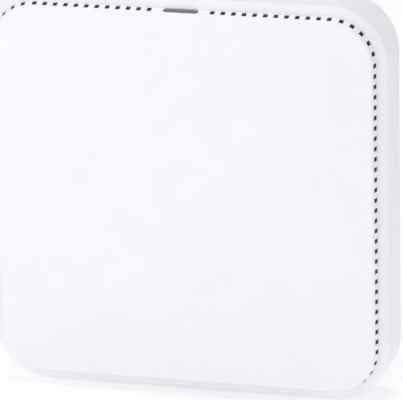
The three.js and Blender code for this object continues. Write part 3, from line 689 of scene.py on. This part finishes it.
def light_lens():
    """The light pipe: a bar with round ends whose face lies in the drafted skirt."""
    bm = bmesh.new()
    loops = []
    foot = (0.0, None)
    rounded = [(0.0, 0.35), (-0.06, 0.16), (-0.2, 0.04), (-0.45, 0.0)]
    for grow, sunk in [foot, *rounded]:
        loop = []
        for x, rise in stadium(grow):
            z = VENT_Z + rise
            y = LENS_LOW.y if sunk is None else VENT_HALF + skirt_out(z) - sunk
            loop.append(bm.verts.new((x, y, z)))
        loops.append(loop)
    for first, second in zip(loops, loops[1:]):
        bridge(bm, first, second)
    bm.faces.new(loops[0])
    bm.faces.new(loops[-1])
    made = sharpen(make_object("light_lens", bm), 50.0)
    return finish_piece(made, MATERIALS["lens_plastic"], ["light_bar_lens"])


def wall_inside(z):
    """How far out of the vent line the side wall's inner face is at z."""
    share = (BEZEL_EDGE - z) / (BEZEL_EDGE - REAR)
    return PLATE_INSET - WALL + WALL_FLARE * share


def front_cover():
    """The cover: the soft bezel, the side wall with its cable notch, and the ledge inside."""
    inner = SKIRT_OUT + SEAM
    rim = PLATE_INSET + WALL_FLARE
    crown = (inner + LIP_ROUND, BEZEL_TOP)
    edge = (PLATE_INSET - EDGE_ROUND, BEZEL_EDGE)
    flank = (PLATE_INSET, BEZEL_EDGE - EDGE_ROUND)
    inside = PLATE_INSET - WALL - LEDGE_WIDTH
    foot = (rim - REAR_ROUND, REAR)
    heel = (rim, REAR + REAR_ROUND)
    lip = (inner, BEZEL_TOP - LIP_ROUND)
    profile = [(inside, LEDGE_UNDER), (wall_inside(LEDGE_UNDER), LEDGE_UNDER)]
    profile += [(wall_inside(REAR), REAR), foot]
    profile += [*reversed(quarter(heel, foot, SMALL_ROUND_STEPS)), heel]
    profile += [flank, *quarter(flank, edge, SMALL_ROUND_STEPS), edge]
    profile += [*bulged(edge, crown, CROWN, 2 * ROUND_STEPS), crown]
    profile += [*reversed(quarter(lip, crown, SMALL_ROUND_STEPS)), lip]
    profile += [(inner, LEDGE_TOP), (inside, LEDGE_TOP)]
    made = make_object("cover", swept_ring(profile))
    cut_out(made, notch_cutter())
    sharpen(made, 50.0)
    return finish_piece(made, MATERIALS["white_plastic"], ["front_cover"])


def notch_cutter():
    """The cutter for the round-topped notch that lets a cable out along the wall."""
    bm = bmesh.new()
    outline = rounded_rectangle(-NOTCH_HALF, NOTCH_HALF, -NOTCH_DEPTH - REAR, NOTCH_DEPTH, NOTCH_ROUND)
    add_prism(bm, outline, 0.0, 2.5 * WALL)
    turn_upright(bm)
    bm.transform(Matrix.Translation((0, COVER_LOW.y - WALL / 2, REAR)))
    return make_object("notch_cutter", bm)


def rear_base():
    """The base, with its moulded edges broken."""
    made = soften(copy_of("rear_base", "base"), 0.25)
    sharpen(made)
    return finish_piece(made, MATERIALS["base_plastic"], ["rear_base"])


def bracket():
    """The pressed bracket, with the rolled edges that a punch leaves."""
    made = soften(copy_of("mounting_bracket", "bracket"), 0.3)
    sharpen(made)
    finish_piece(made, MATERIALS["zinc_steel"], ["mounting_bracket"], "bracket")


def small_part(node, name, slot, width, body="unit"):
    """A small part with its edges broken."""
    made = soften(copy_of(node, name), width)
    sharpen(made)
    finish_piece(made, MATERIALS[slot], [node], body)


def socket_contacts(node, name):
    """Gilt spring wires, held in the wall in front of the mouth, that slope into the socket."""
    low, high = span(node)
    middle = (low.x + high.x) / 2
    wall = high.z - SOCKET_MARGIN
    half = CONTACT / 2
    bends = [(CONTACT_ROOT, wall + half), (CONTACT_BEND, wall - CONTACT)]
    bends.append((CONTACT_TIP, wall - CONTACT_REACH))
    corners = ((-half, -half), (half, -half), (half, half), (-half, half))
    bm = bmesh.new()
    for number in range(CONTACTS):
        x = middle + (number - (CONTACTS - 1) / 2) * CONTACT_PITCH
        loops = []
        for depth, z in bends:
            loops.append([bm.verts.new((x + dx, low.y + depth, z + dz)) for dx, dz in corners])
        for first, second in zip(loops, loops[1:]):
            bridge(bm, first, second)
        bm.faces.new(loops[0])
        bm.faces.new(loops[-1])
    made = sharpen(make_object(name, bm))
    finish_piece(made, MATERIALS["brass"], [])


# --- Scene ---


def make_camera():
    """The camera at the photograph's angle."""
    azimuth, elevation = math.radians(CAMERA_AZIMUTH), math.radians(CAMERA_ELEVATION)
    level = math.cos(elevation)
    back = Vector((math.sin(azimuth) * level, -math.cos(azimuth) * level, math.sin(elevation)))
    right = Vector((0, 0, 1)).cross(back).normalized()
    upward = back.cross(right)
    turn = Matrix((right, upward, back)).transposed()
    turn = Matrix.Rotation(math.radians(CAMERA_ROLL), 3, back) @ turn
    data = bpy.data.cameras.new("camera")
    data.lens = CAMERA_LENS
    data.sensor_width = SENSOR
    data.clip_end = 100.0
    camera = bpy.data.objects.new("camera", data)
    camera.matrix_world = Matrix.Translation(AIM + back * CAMERA_DISTANCE) @ turn.to_4x4()
    bpy.context.scene.collection.objects.link(camera)
    bpy.context.scene.camera = camera


def add_light(name, place, aim, size, power):
    """A soft square lamp that the camera doesn't see."""
    data = bpy.data.lights.new(name, "AREA")
    data.size = size
    data.energy = power
    lamp = bpy.data.objects.new(name, data)
    lamp.location = place
    lamp.rotation_mode = "QUATERNION"
    lamp.rotation_quaternion = (Vector(aim) - Vector(place)).to_track_quat("-Z", "Y")
    lamp.visible_camera = False
    bpy.context.scene.collection.objects.link(lamp)


def floor_glow_and_painted_shadow(recipe):
    """The floor's own light, made weaker round the foot of the casing as a painted contact shadow."""
    away = recipe.nodes.new("ShaderNodeVectorMath")
    away.operation = "LENGTH"
    recipe.links.new(recipe.place, away.inputs[0])
    glow = recipe.nodes.new("ShaderNodeMapRange")
    glow.inputs["From Min"].default_value = GLOW_NEAR
    glow.inputs["From Max"].default_value = GLOW_FAR
    glow.inputs["To Min"].default_value = PAINTED_SHADOW_GLOW
    glow.inputs["To Max"].default_value = FAR_GLOW
    recipe.links.new(away.outputs["Value"], glow.inputs["Value"])
    return glow.outputs["Result"]


def make_floor():
    """A pale studio sweep: a round floor just under the casing that curves up far behind."""
    level = COVER_LOW.y * MM - FLOOR_GAP
    profile = [(reach, 0.0) for reach in (*FLOOR_RADII, SWEEP_RADIUS - SWEEP_BEND)]
    for step in range(1, ROUND_STEPS + 1):
        turn = step / ROUND_STEPS * math.pi / 2
        reach = SWEEP_RADIUS - SWEEP_BEND + SWEEP_BEND * math.sin(turn)
        profile.append((reach, SWEEP_BEND * (1 - math.cos(turn))))
    profile.append((SWEEP_RADIUS, SWEEP_HEIGHT))
    bm = bmesh.new()
    loops = []
    for reach, rise in profile:
        loop = []
        for side in range(SWEEP_SIDES):
            turn = 2 * math.pi * side / SWEEP_SIDES
            loop.append(bm.verts.new((reach * math.cos(turn), reach * math.sin(turn), level + rise)))
        loops.append(loop)
    bm.faces.new(loops[0])
    for first, second in zip(loops, loops[1:]):
        bridge(bm, second, first)
    mesh = bpy.data.meshes.new("floor")
    bm.to_mesh(mesh)
    bm.free()
    mesh.shade_smooth()
    floor = bpy.data.objects.new("floor", mesh)
    bpy.context.scene.collection.objects.link(floor)
    recipe = Recipe("floor_paint")
    recipe.colour(recipe.noise(300.0, 2.0), (0.91, 0.91, 0.912), (0.92, 0.92, 0.92))
    recipe.roughness(recipe.noise(40.0, 2.0), 0.8, 0.9)
    recipe.shader.inputs["Specular IOR Level"].default_value = 0.1
    recipe.shader.inputs["Emission Color"].default_value = (1.0, 1.0, 1.0, 1.0)
    # The emission dims round the casing's foot, which is a painted contact shadow on the floor.
    recipe.links.new(floor_glow_and_painted_shadow(recipe), recipe.shader.inputs["Emission Strength"])
    mesh.materials.append(recipe.material)


def light_scene():
    """Even, slightly cool surroundings, soft lamps front left and front right, and one overhead."""
    world = bpy.data.worlds.new("studio")
    world.use_nodes = True
    background = next(n for n in world.node_tree.nodes if n.type == "BACKGROUND")
    background.inputs["Color"].default_value = (0.965, 0.975, 1.0, 1.0)
    background.inputs["Strength"].default_value = WORLD_STRENGTH
    bpy.context.scene.world = world
    bpy.context.scene.view_settings.view_transform = "Standard"
    add_light("key", (-0.30, -0.55, 0.42), (-0.02, 0, 0.02), 0.35, 0.85)
    add_light("front fill", (0.32, -0.9, 0.5), (0, 0, 0), 0.5, 0.8)
    add_light("overhead", (0.0, 0.1, 1.1), (0, 0, 0), 0.8, 5.1)


make_camera()
make_floor()
light_scene()
dress_carried_nodes()
front_plate()
gauze_screen()
front_cover()
light_lens()
rear_base()
bracket()
small_part("poe_port", "poe_socket_shell", "can_steel", 0.25)
small_part("lan_port", "lan_socket_shell", "can_steel", 0.25)
socket_contacts("poe_port", "poe_contacts")
socket_contacts("lan_port", "lan_contacts")
small_part("power_jack", "jack", "black_plastic", 0.25)
small_part("reset_button", "reset_plunger", "black_plastic", 0.2, "reset")
small_part("blank_label", "back_label", "label", 0.08)
for number in range(1, 5):
    small_part(f"case_screw_{number}", f"casing_screw_{number}", "screw_steel", 0.2)
